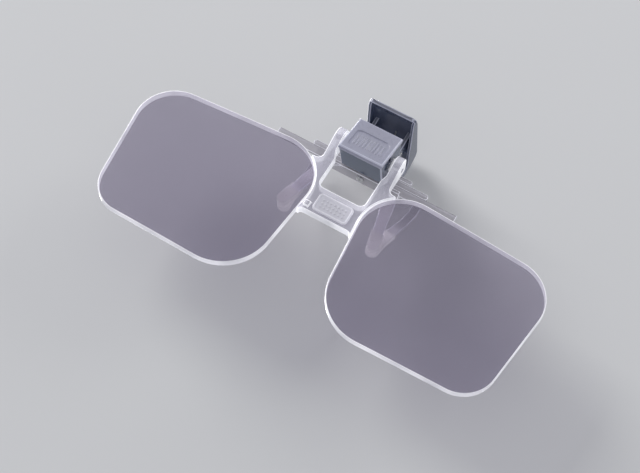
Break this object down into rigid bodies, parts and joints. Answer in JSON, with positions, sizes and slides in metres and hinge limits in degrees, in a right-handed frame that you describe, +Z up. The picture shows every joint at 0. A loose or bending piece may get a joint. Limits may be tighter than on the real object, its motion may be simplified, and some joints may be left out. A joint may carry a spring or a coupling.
{
  "type": "flip-up clip-on eyewear lens",
  "caption": "Flip-up clip-on lens pair for spectacles: clear bridge on a hinge block, with a front jaw and a sprung rear jaw that grip the rim.",
  "frame": {"origin": "middle of the object's box at its lowest point, which is the lowest point of the lenses as worn", "axes": "+X to the right as seen from the front, -Y towards the front of the lenses, +Z up as worn"},
  "size_m": [0.1172, 0.0274, 0.065],
  "materials": {
    "lens_acrylic": "polished, faint grey tint",
    "clear_plastic": "clear moulded, polished",
    "frosted_plastic": "frosted, raised rim",
    "smoke_plastic": "translucent smoke, polished",
    "jaw_plastic": "translucent, polished",
    "silicone": "satin, translucent",
    "steel": "bright drawn wire and turned steel"
  },
  "bodies": {
    "clip_body": {"hinge_block": "smoke_plastic", "block_front_cover": "smoke_plastic", "detent_leaf": "steel", "lever_pin": "steel", "front_jaw": "jaw_plastic", "front_jaw_screw": "steel", "flip_washer_left": "steel", "flip_washer_right": "steel", "front_pad_left": "silicone", "front_pad_right": "silicone"},
    "lens_unit": {"lens_left": "lens_acrylic", "lens_right": "lens_acrylic", "bridge_frame": "clear_plastic", "bridge_badge": "frosted_plastic", "flip_axle": "steel"},
    "lever_unit": {"lever": "smoke_plastic", "rear_jaw": "jaw_plastic", "rear_jaw_screw_left": "steel", "rear_jaw_screw_right": "steel", "rear_pad_left": "silicone", "rear_pad_right": "silicone"},
    "spring_body": {"torsion_spring": "steel"}
  },
  "joints": [
    {"name": "flip_hinge", "type": "hinge", "parent": "clip_body", "child": "lens_unit", "pos_m": [0, -0.00743, 0.04797], "axis": [-1, 0, 0], "range_deg": [0, 90]},
    {"name": "lever_hinge", "type": "hinge", "parent": "clip_body", "child": "lever_unit", "pos_m": [0, 0.00057, 0.05627], "axis": [1, 0, 0], "range_deg": [0, 18], "stiffness_Nm_per_rad": 0.2, "springref_deg": -17.19},
    {"name": "spring_wind", "type": "hinge", "parent": "clip_body", "child": "spring_body", "pos_m": [0, 0.00057, 0.05627], "axis": [1, 0, 0], "range_deg": [0, 9]}
  ],
  "couplings": [
    {"joint": "spring_wind", "follows": "lever_hinge", "ratio": 0.5}
  ]
}
